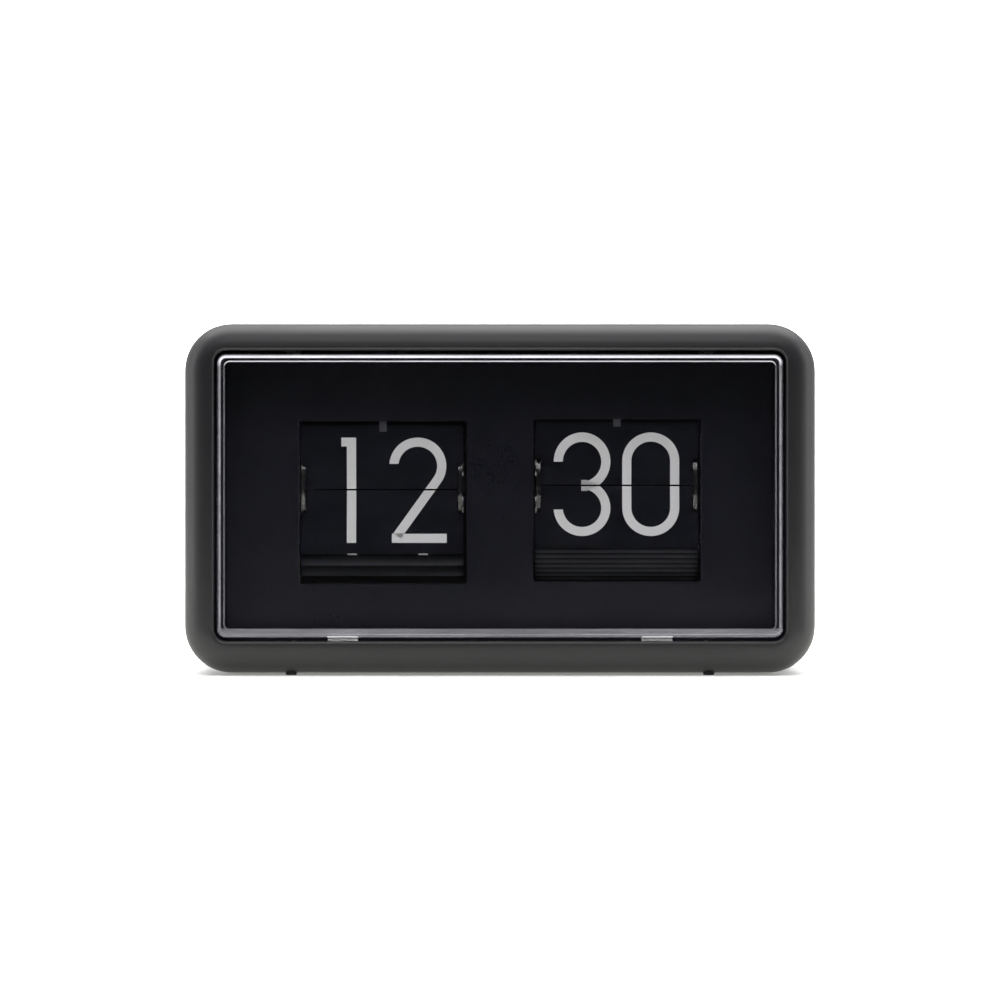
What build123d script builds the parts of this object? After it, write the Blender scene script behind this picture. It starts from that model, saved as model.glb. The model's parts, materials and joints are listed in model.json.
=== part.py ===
from build123d import *
from math import acos, atan2, cos, degrees, pi, radians, sin, sqrt, tan
import os

# Table clock with falling number leaves. Millimetres, +X right seen from the front, +Y to the rear, +Z up.
# The origin is on the table, under the middle of the case.

# how far a cutting shape reaches past the surface it opens
PAST = 1.0

# ---------- case ----------
WIDTH = 181.4
TOP_Z = 101.0
FOOT_STAND = 0.6
FRONT_Y = -35.0
SHELL_BACK_Y = 33.0
WALL = 2.5
FRONT_WALL = 3.0
CORNER_R = 13.5
FRONT_EDGE_R = 7.5
SHELL_Z = (FOOT_STAND + TOP_Z) / 2
SHELL_H = TOP_Z - FOOT_STAND
FRONT_INNER_Y = FRONT_Y + FRONT_WALL
INNER_W = WIDTH - 2 * WALL
INNER_H = SHELL_H - 2 * WALL
INNER_R = CORNER_R - WALL

# window opening in the front of the case, and the clear tray that fills it
OPENING_W = 163.6
OPENING_H = 83.2
OPENING_R = 3.5
OPENING_Z = 51.5
OPENING_EDGE_R = 1.0
LENS_W = 161.9
LENS_H = 81.0
LENS_R = 2.6
LENS_WALL = 1.5
LENS_FRONT_Y = -34.2
LENS_BACK_Y = -17.05
SNAP_X = 45.0
SNAP_W = 8.8
SNAP_OUT = 1.9
SNAP_DEPTH = 1.6
SNAP_GAP = 0.15

# black plate behind the window, with an aperture for each number
PLATE_FRONT_Y = -16.85
PLATE_BACK_Y = -15.65
PLATE_W = 172.0
PLATE_H = 91.5
PLATE_R = 9.0
PLATE_Z = 50.5
APERTURE_X = 34.1
APERTURE_W = 48.6
APERTURE_H = 47.3
HOUR_APERTURE_Z = 49.6
MINUTE_APERTURE_Z = 50.25
APERTURE_R = 0.8
APERTURE_BEVEL = 0.25

# posts in the case that the black plate is screwed to
POST_X = 60.0
POST_Z_LOW = 7.0
POST_Z_HIGH = 94.5
POST_R = 2.4

# rear cover and its bosses
COVER_IN_Y = 30.3
COVER_OUT_Y = 32.8
COVER_GAP = 0.3
BOSS_X = 70.0
BOSS_Z_LOW = 6.6
BOSS_Z_HIGH = 95.0
BOSS_R = 3.8
BOSS_START_Y = 12.0

FOOT_R = 1.6
FOOT_X = 60.0
FOOT_Y_FRONT = -29.0
FOOT_Y_REAR = 22.0
FOOT_RECESS = 1.2

# ---------- screws ----------
SCREW_R = 1.2
SCREW_HOLE_R = 1.25
SCREW_HEAD_R = 2.4
SCREW_HEAD_H = 1.5
SLOT_W = 0.5
SLOT_DEPTH = 0.7

# ---------- number drums ----------
HOUR_DRUM_X = -34.5
MINUTE_DRUM_X = 34.1
AXIS_Y = 0.6
AXIS_Z = 54.4
SHAFT_R = 1.5
RUN_GAP = 0.05
PIVOT_R = 14.3
DISC_R = 15.4
DISC_IN = 22.3
DISC_OUT = 23.5
EAR_HOLE_R = 0.45
BARREL_R = 6.0
BARREL_BORE_R = 4.6
BARREL_END = 3.0
HUB_R = 3.2
HUB_HOLE_R = 3.22

# leaves
LEAF_T = 0.15
LEAF_HALF_W = 23.8
NECK_HALF_W = 22.0
EAR_OUT = 23.4
EAR_HALF = 0.3
LEAF_CORNER_R = 0.9
MINUTE_COUNT = 60
MINUTE_LENGTH = 17.45
MINUTE_HEEL = 0.55
MINUTE_NECK = 6.8
MINUTE_FIRST = 3.7
MINUTE_FAN = 82.3
HOUR_COUNT = 24
HOUR_LENGTH = 16.85
HOUR_HEEL = 1.67
HOUR_NECK = 4.9
HOUR_FIRST = 3.2
HOUR_FAN = 82.8
LOWER_LEAN = -86.0
HANGING = -90.0
# how far the first hanging leaves are still held forward
HELD_FORWARD = [1.7, 0.5]

# spring fingers that hold back the top leaf
FINGER_W = 2.4
FINGER_T = 0.5
FINGER_PAD_W = 9.0
FINGER_PAD_LOW = 75.5
FINGER_PAD_HIGH = 83.0
HOUR_FINGER_LOW = 70.2
MINUTE_FINGER_LOW = 71.7
PEG_R = 0.8
PEG_X = 2.9
PEG_Z = 79.2
PEG_END_Y = -14.6

# ---------- plates that carry the drums ----------
SIDE_PLATE_T = 1.5
LEFT_PLATE_X = -60.2
MIDDLE_PLATE_X = -0.75
RIGHT_PLATE_X = 66.0
SIDE_PLATE_Y0 = -9.5
SIDE_PLATE_Y1 = 28.0
SIDE_PLATE_Z0 = 10.0
SIDE_PLATE_Z1 = 91.0
SIDE_PLATE_R = 4.0
FLANGE_W = 8.0
FLANGE_T = 1.5
FLANGE_H = 10.0
FLANGE_Z_LOW = 15.5
FLANGE_Z_HIGH = 85.0
FLANGE_HOLE = 4.75
FRAME_BOSS_R = 2.8
ROD_R = 2.0
ROD_YZ = [(-6.0, 84.5), (24.0, 84.5), (-6.0, 15.5), (24.0, 15.5)]
ROD_SCREW_R = 0.95
ROD_SCREW_LENGTH = 5.0
ROD_SCREW_HEAD_R = 1.9
ROD_SCREW_HEAD_H = 1.2

# holes that lighten the drum carrier plates: Y, Z and radius
LEFT_WINDOWS = [(15.0, 64.0, 5.0), (15.0, 38.0, 6.5), (4.0, 75.0, 4.0)]
MIDDLE_WINDOWS = [(16.0, 66.0, 5.5), (2.0, 74.0, 4.5)]
RIGHT_WINDOWS = [(18.0, 30.0, 5.0), (8.0, 74.0, 4.0)]

# shaft ends, past the outer plates, and the clips in their grooves
SHAFT_LEFT_X = LEFT_PLATE_X - 2.0
SHAFT_RIGHT_X = RIGHT_PLATE_X + SIDE_PLATE_T + 1.7
CLIP_T = 0.6
CLIP_R = 2.9
CLIP_GROOVE_R = 1.15
CLIP_PLATE_GAP = 0.15

# ---------- gears ----------
FINE = 0.5
COARSE = 0.7
PRESSURE_ANGLE = 20.0
WHEEL_ADDENDUM = 0.6
PINION_ADDENDUM = 1.0
WHEEL_DEDENDUM = 1.25
PINION_DEDENDUM = 1.05
TOOTH_SHARE = 0.455
MINUTE_PINION_T = 10
IDLER_WHEEL_T = 60
IDLER_PINION_T = 10
HOUR_GEAR_T = 40
DRIVE_GEAR_T = 60
SETTING_PINION_T = 20
MOTOR_PINION_T = 12
HOUR_GEAR_X = (-8.5, -6.5)
IDLER_PINION_X = (-9.2, -5.8)
IDLER_WHEEL_X = (4.6, 6.6)
MINUTE_PINION_X = (3.6, 7.6)
DRIVE_GEAR_X = (59.0, 61.0)
SETTING_PINION_X = (58.9, 61.1)
MOTOR_PINION_X = (58.8, 61.2)
GEAR_HUB_R = 2.6
FORCE_FIT = 0.01
IDLER_DISTANCE = FINE * (MINUTE_PINION_T + IDLER_WHEEL_T) / 2
IDLER_DROP = 16.5
IDLER_Y = AXIS_Y + sqrt(IDLER_DISTANCE**2 - IDLER_DROP**2)
IDLER_Z = AXIS_Z - IDLER_DROP
IDLER_ANGLE = degrees(atan2(IDLER_Z - AXIS_Z, IDLER_Y - AXIS_Y))
SETTING_Y = AXIS_Y + FINE * (DRIVE_GEAR_T + SETTING_PINION_T) / 2
SETTING_Z = AXIS_Z
MOTOR_Y = AXIS_Y
MOTOR_Z = AXIS_Z - FINE * (DRIVE_GEAR_T + MOTOR_PINION_T) / 2
SMALL_ARBOR_R = 1.0
SETTING_ARBOR_R = 1.25
SETTING_WHEEL_R = 14.4
SETTING_KNURLS = 44
SETTING_KNURL_DEPTH = 0.5
SETTING_X0 = 62.2
SETTING_X1 = 65.4
SETTING_SLOT_HALF_H = 11.4
SETTING_SLOT_GAP = 0.4

# bearing tubes on the carrier plates
BEARING_R = 3.0
IDLER_BEARING_HALF = 2.5
SETTING_BEARING = 4.0

# ---------- motor unit ----------
MOVE_X0 = 69.6
MOVE_X1 = 84.6
MOVE_LID_T = 1.5
MOVE_WALL = 1.5
MOVE_Y0 = -12.4
MOVE_Y1 = 13.6
MOVE_Z0 = 24.4
MOVE_Z1 = 62.4
EAR_W = 8.0
EAR_H = 6.0
EAR_T = 2.1

# ---------- battery ----------
CELL_R = 7.15
CELL_X = -74.5
CELL_Y = 21.6
CELL_Z0 = 23.0
CELL_BODY = 49.5
CELL_NUB_R = 2.7
CELL_NUB = 1.0
BOX_X0 = -84.5
BOX_X1 = -64.5
BOX_Y0 = 12.0
BOX_Z0 = 17.5
BOX_Z1 = 77.0
BOX_WALL = 1.5
DOOR_GAP = 0.2
DOOR_IN_Y = 31.0
DOOR_PIVOT_Y = 31.5
DOOR_PIVOT_Z = 20.5
DOOR_PIN_R = 0.8
DOOR_PIN_OUT = 1.0
DOOR_TOP_Z = 75.3

# battery contacts and the wires from them to the motor unit
STRIP_T = 0.4
STRIP_HALF_W = 2.5
SPRING_R = 4.2
SPRING_TURNS = 3
SPRING_WIRE_R = 0.35
LEAD_R = 0.6
LEAD_X = BOX_X1 + 2.4
LEAD_LOW_Z = 5.6
LEAD_Y = 4.0
LEAD_END_X = 77.0
LEAD_BEND_R = 2.5

# rear cover vents
VENT_COUNT = 7
VENT_W = 18.0
VENT_H = 1.6
VENT_LOW_Z = 40.0
VENT_PITCH = 3.6


def block(x0, x1, y0, y1, z0, z1):
    """A plain cuboid between two corners."""
    middle = Pos((x0 + x1) / 2, (y0 + y1) / 2, (z0 + z1) / 2)
    return middle * Box(x1 - x0, y1 - y0, z1 - z0)


def bar(radius, x0, x1, y, z):
    """A round bar along X."""
    return Pos((x0 + x1) / 2, y, z) * Rot(0, 90, 0) * Cylinder(radius, x1 - x0)


def peg(radius, y0, y1, x, z):
    """A round bar along Y."""
    return Pos(x, (y0 + y1) / 2, z) * Rot(90, 0, 0) * Cylinder(radius, y1 - y0)


def slab(width, height, radius, y0, y1, x, z):
    """A plate with rounded corners, upright and facing along Y."""
    face = Pos(x, 0, z) * (Plane.XZ.offset(-y1) * RectangleRounded(width, height, radius))
    return extrude(face, y1 - y0, dir=(0, -1, 0))


def slotted_screw(shank, head_r, head_h, radius=SCREW_R):
    """A pan-head screw along +Z, its head's seat at the origin and its shank below."""
    head = Pos(0, 0, head_h / 2) * Cylinder(head_r, head_h)
    head = fillet(head.edges().group_by(Axis.Z)[-1], head_h * 0.45)
    body = head + Pos(0, 0, -shank / 2) * Cylinder(radius, shank)
    return body - Pos(0, 0, head_h - SLOT_DEPTH / 2) * Box(2 * head_r, SLOT_W, SLOT_DEPTH)


def facing_rear(thing, x, y, z):
    """Turns a part made along +Z to point along +Y."""
    return Pos(x, y, z) * Rot(-90, 0, 0) * thing


def facing_right(thing, x, y, z):
    """Turns a part made along +Z to point along +X."""
    return Pos(x, y, z) * Rot(0, 90, 0) * thing


def facing_left(thing, x, y, z):
    """Turns a part made along +Z to point along -X."""
    return Pos(x, y, z) * Rot(0, -90, 0) * thing


def corners(x, z_low, z_high):
    """Four places, the same distance left and right of the middle."""
    return [(side * x, z) for side in (-1, 1) for z in (z_low, z_high)]


def bored(solid, radius, y, z):
    """Cuts a round hole along X through the whole of a solid."""
    box = solid.bounding_box()
    return solid - bar(radius, box.min.X - PAST, box.max.X + PAST, y, z)


def rim(solid, face_y, x, z, width, height):
    """The edges where an opening meets a flat face across Y."""
    edges = []
    for edge in solid.edges():
        box = edge.bounding_box()
        on_face = max(abs(box.min.Y - face_y), abs(box.max.Y - face_y)) < 0.01
        near_x = max(abs(box.min.X - x), abs(box.max.X - x)) < width / 2 + 0.1
        near_z = max(abs(box.min.Z - z), abs(box.max.Z - z)) < height / 2 + 0.1
        if on_face and near_x and near_z:
            edges.append(edge)
    return edges


# ---------- gears ----------
def involute(angle):
    """Involute function of an angle in radians."""
    return tan(angle) - angle


def tooth_half_angle(radius, pitch_r, base_r, teeth):
    """Half the angle a tooth takes up at a radius. Below the base circle its sides are radial."""
    at_pitch = TOOTH_SHARE * pi / teeth
    if radius <= base_r:
        return at_pitch + involute(radians(PRESSURE_ANGLE))
    return at_pitch + involute(radians(PRESSURE_ANGLE)) - involute(acos(base_r / radius))


def gear(teeth, module, addendum, dedendum, tooth_at, x0, x1, y, z):
    """A spur gear about X, with a tooth's middle at an angle counted from +Y towards +Z."""
    pitch_r = module * teeth / 2
    base_r = pitch_r * cos(radians(PRESSURE_ANGLE))
    root_r = pitch_r - dedendum * module
    tip_r = pitch_r + addendum * module
    low_r = max(root_r, base_r)
    flank = [root_r, low_r, (low_r + tip_r) / 2, tip_r]
    if low_r - root_r < module / 20:
        flank = [root_r, (root_r + tip_r) / 2, tip_r]
    points = []
    for tooth in range(teeth):
        middle = radians(tooth_at) + 2 * pi * tooth / teeth
        for radius in flank:
            angle = middle - tooth_half_angle(radius, pitch_r, base_r, teeth)
            points.append((radius * cos(angle), radius * sin(angle)))
        for radius in reversed(flank):
            angle = middle + tooth_half_angle(radius, pitch_r, base_r, teeth)
            points.append((radius * cos(angle), radius * sin(angle)))
    face = Plane.YZ * make_face(Polyline(*points, close=True))
    return Pos(x0, y, z) * extrude(face, x1 - x0, dir=(1, 0, 0))


def wheel(teeth, module, tooth_at, x0, x1, y, z):
    return gear(teeth, module, WHEEL_ADDENDUM, WHEEL_DEDENDUM, tooth_at, x0, x1, y, z)


def pinion(teeth, module, tooth_at, x0, x1, y, z):
    return gear(teeth, module, PINION_ADDENDUM, PINION_DEDENDUM, tooth_at, x0, x1, y, z)


def lightened(solid, ring_r, hole_r, y, z):
    """Cuts a ring of six round holes along X."""
    for k in range(6):
        angle = 2 * pi * k / 6
        solid = bored(solid, hole_r, y + ring_r * cos(angle), z + ring_r * sin(angle))
    return solid


# ---------- case ----------
def front_shell():
    outer = slab(WIDTH, SHELL_H, CORNER_R, FRONT_Y, SHELL_BACK_Y, 0, SHELL_Z)
    outer = fillet(outer.edges().group_by(Axis.Y)[0], FRONT_EDGE_R)
    outer = chamfer(outer.edges().group_by(Axis.Y)[-1], 0.5)
    inner = slab(INNER_W, INNER_H, INNER_R, FRONT_INNER_Y, SHELL_BACK_Y + 1, 0, SHELL_Z)
    inner = fillet(inner.edges().group_by(Axis.Y)[0], FRONT_EDGE_R - WALL)
    shell = outer - inner
    for x, z in corners(POST_X, POST_Z_LOW, POST_Z_HIGH):
        shell = shell + peg(POST_R, FRONT_INNER_Y - 0.5, PLATE_FRONT_Y, x, z)
        shell = shell - peg(SCREW_HOLE_R, PLATE_FRONT_Y - 8, PLATE_FRONT_Y, x, z)
    for x, z in corners(BOSS_X, BOSS_Z_LOW, BOSS_Z_HIGH):
        shell = shell + peg(BOSS_R, BOSS_START_Y, COVER_IN_Y, x, z)
        shell = shell - peg(SCREW_HOLE_R, COVER_IN_Y - 12, COVER_IN_Y, x, z)
    for x, y in foot_places():
        recess = Pos(x, y, FOOT_STAND + FOOT_RECESS / 2) * Cylinder(FOOT_R + 0.1, FOOT_RECESS)
        shell = shell - recess
    opening = slab(OPENING_W, OPENING_H, OPENING_R, FRONT_Y - PAST, FRONT_INNER_Y + PAST, 0, OPENING_Z)
    shell = shell - opening
    opening_rim = rim(shell, FRONT_Y, 0, OPENING_Z, OPENING_W, OPENING_H)
    return fillet(opening_rim, OPENING_EDGE_R)


def foot_places():
    return [(side * FOOT_X, y) for side in (-1, 1) for y in (FOOT_Y_FRONT, FOOT_Y_REAR)]


def rubber_feet():
    height = FOOT_STAND + FOOT_RECESS
    foot = Pos(0, 0, height / 2) * Cylinder(FOOT_R, height)
    foot = fillet(foot.edges().group_by(Axis.Z)[0], 0.4)
    return [Pos(x, y, 0) * foot for x, y in foot_places()]


def window_lens():
    tray = slab(LENS_W, LENS_H, LENS_R, LENS_FRONT_Y, LENS_BACK_Y, 0, OPENING_Z)
    tray = fillet(tray.edges().group_by(Axis.Y)[0], 0.5)
    inside_w = LENS_W - 2 * LENS_WALL
    inside_h = LENS_H - 2 * LENS_WALL
    inside_y = LENS_FRONT_Y + LENS_WALL
    inside = slab(inside_w, inside_h, LENS_R - 1, inside_y, LENS_BACK_Y + 1, 0, OPENING_Z)
    tray = tray - inside
    tab_y = FRONT_INNER_Y + SNAP_GAP
    wall_z = OPENING_Z - LENS_H / 2
    for x in (-SNAP_X, SNAP_X):
        tab = block(
            x - SNAP_W / 2,
            x + SNAP_W / 2,
            tab_y,
            tab_y + SNAP_DEPTH,
            wall_z - SNAP_OUT,
            wall_z,
        )
        ramp_edge = tab.edges().group_by(Axis.Y)[-1].sort_by(Axis.Z)[0]
        tray = tray + chamfer(ramp_edge, SNAP_OUT * 0.8)
    return tray


def faceplate():
    plate = slab(PLATE_W, PLATE_H, PLATE_R, PLATE_FRONT_Y, PLATE_BACK_Y, 0, PLATE_Z)
    for x, z in ((-APERTURE_X, HOUR_APERTURE_Z), (APERTURE_X, MINUTE_APERTURE_Z)):
        hole_front = PLATE_FRONT_Y - PAST
        hole_back = PLATE_BACK_Y + PAST
        plate = plate - slab(APERTURE_W, APERTURE_H, APERTURE_R, hole_front, hole_back, x, z)
        edges = rim(plate, PLATE_FRONT_Y, x, z, APERTURE_W, APERTURE_H)
        plate = chamfer(edges, APERTURE_BEVEL)
        for dx in (-PEG_X, PEG_X):
            plate = plate + peg(PEG_R, PLATE_BACK_Y, PEG_END_Y, x + dx, PEG_Z)
    for x, z in flange_screws():
        plate = plate + peg(FRAME_BOSS_R, PLATE_BACK_Y, SIDE_PLATE_Y0 - FLANGE_T, x, z)
        plate = plate - peg(SCREW_HOLE_R, PLATE_BACK_Y, SIDE_PLATE_Y0, x, z)
    for x, z in corners(POST_X, POST_Z_LOW, POST_Z_HIGH):
        plate = plate - peg(SCREW_HOLE_R + 0.2, PLATE_FRONT_Y - PAST, PLATE_BACK_Y + PAST, x, z)
    return plate


def catch_finger(x, low):
    """A stamped strip: a pad on two pegs, and a narrow tongue that overlaps the top leaf's edge."""
    back = PLATE_BACK_Y + FINGER_T
    half_pad = FINGER_PAD_W / 2
    half = FINGER_W / 2
    outline = Polyline(
        (-half_pad, FINGER_PAD_HIGH),
        (half_pad, FINGER_PAD_HIGH),
        (half_pad, FINGER_PAD_LOW + 1.5),
        (half, FINGER_PAD_LOW),
        (half * 0.85, low),
        (-half * 0.85, low),
        (-half, FINGER_PAD_LOW),
        (-half_pad, FINGER_PAD_LOW + 1.5),
        close=True,
    )
    strip = extrude(Plane.XZ.offset(-back) * make_face(outline), FINGER_T, dir=(0, -1, 0))
    strip = Pos(x, 0, 0) * strip
    for dx in (-PEG_X, PEG_X):
        strip = strip - peg(PEG_R + RUN_GAP, PLATE_BACK_Y - PAST, back + PAST, x + dx, PEG_Z)
    return strip


def battery_box():
    """The open-backed compartment moulded on the inside of the rear cover."""
    box = block(BOX_X0, BOX_X1, BOX_Y0, COVER_IN_Y, BOX_Z0, BOX_Z1)
    room = block(
        BOX_X0 + BOX_WALL,
        BOX_X1 - BOX_WALL,
        BOX_Y0 + BOX_WALL,
        COVER_IN_Y + 5,
        BOX_Z0 + BOX_WALL,
        BOX_Z1 - BOX_WALL,
    )
    return box, room


def rear_cover():
    width = INNER_W - 2 * COVER_GAP
    height = INNER_H - 2 * COVER_GAP
    cover = slab(width, height, INNER_R - COVER_GAP, COVER_IN_Y, COVER_OUT_Y, 0, SHELL_Z)
    box, room = battery_box()
    cover = cover + box - room
    for x in (BOX_X0 + BOX_WALL, BOX_X1 - BOX_WALL):
        hole = bar(DOOR_PIN_R + 0.06, x - 1.3, x + 1.3, DOOR_PIVOT_Y, DOOR_PIVOT_Z)
        cover = cover - hole
    for z in contact_slots():
        cover = cover - block(BOX_X1 - 2, BOX_X1 + 1, CELL_Y - 2.6, CELL_Y + 2.6, z - 0.5, z + 0.5)
    for x, z in corners(BOSS_X, BOSS_Z_LOW, BOSS_Z_HIGH):
        cover = cover - peg(SCREW_HOLE_R + 0.2, COVER_IN_Y - 1, COVER_OUT_Y + 1, x, z)
        cover = cover - peg(SCREW_HEAD_R + 0.3, COVER_OUT_Y - 1.3, COVER_OUT_Y + 1, x, z)
    slot = block(
        SETTING_X0 - SETTING_SLOT_GAP,
        SETTING_X1 + SETTING_SLOT_GAP,
        COVER_IN_Y - 1,
        COVER_OUT_Y + 1,
        SETTING_Z - SETTING_SLOT_HALF_H,
        SETTING_Z + SETTING_SLOT_HALF_H,
    )
    cover = cover - slot
    for k in range(VENT_COUNT):
        vent_z = VENT_LOW_Z + VENT_PITCH * k
        vent = slab(VENT_W, VENT_H, 0.75, COVER_IN_Y - 1, COVER_OUT_Y + 1, 0, vent_z)
        cover = cover - vent
    return cover


def battery_door():
    x0 = BOX_X0 + BOX_WALL + DOOR_GAP
    x1 = BOX_X1 - BOX_WALL - DOOR_GAP
    door = block(x0, x1, DOOR_IN_Y, COVER_OUT_Y, DOOR_PIVOT_Z, DOOR_TOP_Z)
    knuckle_r = COVER_OUT_Y - DOOR_PIVOT_Y
    door = door + bar(knuckle_r, x0, x1, DOOR_PIVOT_Y, DOOR_PIVOT_Z)
    pins = bar(DOOR_PIN_R, x0 - DOOR_PIN_OUT, x1 + DOOR_PIN_OUT, DOOR_PIVOT_Y, DOOR_PIVOT_Z)
    door = door + pins
    middle = (x0 + x1) / 2
    for k in range(4):
        z = DOOR_TOP_Z - 3 - 1.6 * k
        groove = block(middle - 4, middle + 4, COVER_OUT_Y - 0.4, COVER_OUT_Y + 1, z - 0.4, z + 0.4)
        door = door - groove
    rib_y = DOOR_IN_Y - 1.2
    for x in (middle - 4, middle + 4):
        door = door + block(x - 0.5, x + 0.5, rib_y, DOOR_IN_Y, CELL_Z0 + 4, CELL_Z0 + 44)
    return door


def contact_slots():
    """Heights where the battery contacts' tails leave the compartment."""
    return [BOX_Z0 + BOX_WALL + 1.6, BOX_Z1 - BOX_WALL - 1.6]


def screws_facing_rear(places, seat_y, shank):
    screw = slotted_screw(shank, SCREW_HEAD_R, SCREW_HEAD_H)
    return [facing_rear(screw, x, seat_y, z) for x, z in places]


# ---------- frame that carries the drums ----------
def flange_screws():
    """X and Z of the screws that hold the three frame plates to the black plate."""
    places = []
    for x in (
        LEFT_PLATE_X - FLANGE_HOLE,
        MIDDLE_PLATE_X + SIDE_PLATE_T + FLANGE_HOLE,
        RIGHT_PLATE_X + SIDE_PLATE_T + FLANGE_HOLE,
    ):
        places += [(x, FLANGE_Z_LOW), (x, FLANGE_Z_HIGH)]
    return places


def frame_plate(x0, flange_side, windows):
    """A stamped plate across X with two bent flanges at its front edge."""
    x1 = x0 + SIDE_PLATE_T
    depth = SIDE_PLATE_Y1 - SIDE_PLATE_Y0
    height = SIDE_PLATE_Z1 - SIDE_PLATE_Z0
    middle_y = (SIDE_PLATE_Y0 + SIDE_PLATE_Y1) / 2
    middle_z = (SIDE_PLATE_Z0 + SIDE_PLATE_Z1) / 2
    face = Plane.YZ * RectangleRounded(depth, height, SIDE_PLATE_R)
    plate = Pos(x0, middle_y, middle_z) * extrude(face, SIDE_PLATE_T, dir=(1, 0, 0))
    for z in (FLANGE_Z_LOW, FLANGE_Z_HIGH):
        low = x0 - FLANGE_W if flange_side < 0 else x0
        high = x1 + FLANGE_W if flange_side > 0 else x1
        front = SIDE_PLATE_Y0 - FLANGE_T
        flange = block(low, high, front, SIDE_PLATE_Y0, z - FLANGE_H / 2, z + FLANGE_H / 2)
        web = block(x0, x1, front, SIDE_PLATE_Y0 + 4, z - FLANGE_H / 2, z + FLANGE_H / 2)
        plate = plate + flange + web
        hole_x = x0 - FLANGE_HOLE if flange_side < 0 else x1 + FLANGE_HOLE
        plate = plate - peg(SCREW_HOLE_R + 0.1, front - PAST, SIDE_PLATE_Y0 + PAST, hole_x, z)
    plate = bored(plate, SHAFT_R + 0.02, AXIS_Y, AXIS_Z)
    for y, z, radius in windows:
        plate = bored(plate, radius, y, z)
    return plate


def left_plate():
    holes = [(y, z, ROD_SCREW_R + 0.1) for y, z in ROD_YZ]
    return frame_plate(LEFT_PLATE_X, -1, holes + LEFT_WINDOWS)


def middle_plate():
    holes = [(y, z, ROD_R + RUN_GAP) for y, z in ROD_YZ]
    plate = frame_plate(MIDDLE_PLATE_X, 1, holes + MIDDLE_WINDOWS)
    plate = plate + bar(BEARING_R, -IDLER_BEARING_HALF, IDLER_BEARING_HALF, IDLER_Y, IDLER_Z)
    return bored(plate, SMALL_ARBOR_R + RUN_GAP, IDLER_Y, IDLER_Z)


def right_plate():
    holes = [(y, z, ROD_SCREW_R + 0.1) for y, z in ROD_YZ]
    holes += [(MOTOR_Y, MOTOR_Z, SMALL_ARBOR_R + 0.6)]
    holes += [(MOTOR_Y, z, ROD_SCREW_R + RUN_GAP) for z in movement_screw_heights()]
    plate = frame_plate(RIGHT_PLATE_X, 1, holes + RIGHT_WINDOWS)
    x1 = RIGHT_PLATE_X + SIDE_PLATE_T
    plate = plate + bar(BEARING_R, x1 - 0.5, x1 + SETTING_BEARING, SETTING_Y, SETTING_Z)
    return bored(plate, SETTING_ARBOR_R + RUN_GAP, SETTING_Y, SETTING_Z)


def tie_rods():
    x0 = LEFT_PLATE_X + SIDE_PLATE_T
    x1 = RIGHT_PLATE_X
    rods = []
    for y, z in ROD_YZ:
        rod = bar(ROD_R, x0, x1, y, z)
        rod = rod - bar(ROD_SCREW_R + RUN_GAP, x0, x0 + 6, y, z)
        rod = rod - bar(ROD_SCREW_R + RUN_GAP, x1 - 6, x1, y, z)
        rods.append(rod)
    return rods


def tie_rod_screws():
    screw = slotted_screw(ROD_SCREW_LENGTH, ROD_SCREW_HEAD_R, ROD_SCREW_HEAD_H, ROD_SCREW_R)
    screws = [facing_left(screw, LEFT_PLATE_X, y, z) for y, z in ROD_YZ]
    right_x = RIGHT_PLATE_X + SIDE_PLATE_T
    return screws + [facing_right(screw, right_x, y, z) for y, z in ROD_YZ]


def clip_places():
    left = LEFT_PLATE_X - CLIP_PLATE_GAP - CLIP_T
    right = RIGHT_PLATE_X + SIDE_PLATE_T + CLIP_PLATE_GAP
    return [left, right]


def drum_shaft():
    shaft = bar(SHAFT_R, SHAFT_LEFT_X, SHAFT_RIGHT_X, AXIS_Y, AXIS_Z)
    for x in clip_places():
        ring = bar(SHAFT_R + 1, x - 0.02, x + CLIP_T + 0.02, AXIS_Y, AXIS_Z)
        ring = ring - bar(CLIP_GROOVE_R, x - 1, x + CLIP_T + 1, AXIS_Y, AXIS_Z)
        shaft = shaft - ring
    return shaft


def shaft_clips():
    """Open rings that snap into the shaft's grooves."""
    clips = []
    for x in clip_places():
        clip = bar(CLIP_R, x, x + CLIP_T, AXIS_Y, AXIS_Z)
        clip = clip - bar(CLIP_GROOVE_R + 0.02, x - 1, x + 1, AXIS_Y, AXIS_Z)
        clip = clip - block(x - 1, x + 1, AXIS_Y - 0.8, AXIS_Y + 0.8, AXIS_Z - 4, AXIS_Z)
        clips.append(clip)
    return clips


# ---------- drums ----------
def pivot_point(angle):
    """Y and Z of a leaf's ears, at an angle counted upwards from straight ahead."""
    y = AXIS_Y - PIVOT_R * cos(radians(angle))
    z = AXIS_Z + PIVOT_R * sin(radians(angle))
    return y, z


def drum_disc(x0, count, first_angle):
    """A moulded disc with a ring of small holes for the leaves' ears."""
    x1 = x0 + DISC_OUT - DISC_IN
    disc = bar(DISC_R, x0, x1, AXIS_Y, AXIS_Z)
    disc = bored(disc, HUB_HOLE_R, AXIS_Y, AXIS_Z)
    disc = lightened(disc, 8.6, 2.6, AXIS_Y, AXIS_Z)
    holes = []
    for k in range(count):
        y, z = pivot_point(first_angle + k * 360.0 / count)
        holes.append(bar(EAR_HOLE_R, x0 - PAST, x1 + PAST, y, z))
    return disc - holes


def spool(x0, x1, plug):
    """The barrel between two discs, hollow between its end walls. plug is a hub past its left end."""
    body = bar(BARREL_R, x0, x1, AXIS_Y, AXIS_Z)
    body = body - bar(BARREL_BORE_R, x0 + BARREL_END, x1 - BARREL_END, AXIS_Y, AXIS_Z)
    if plug:
        body = body + bar(HUB_R, x0 - plug, x0, AXIS_Y, AXIS_Z)
    return bored(body, SHAFT_R + RUN_GAP, AXIS_Y, AXIS_Z)


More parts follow.
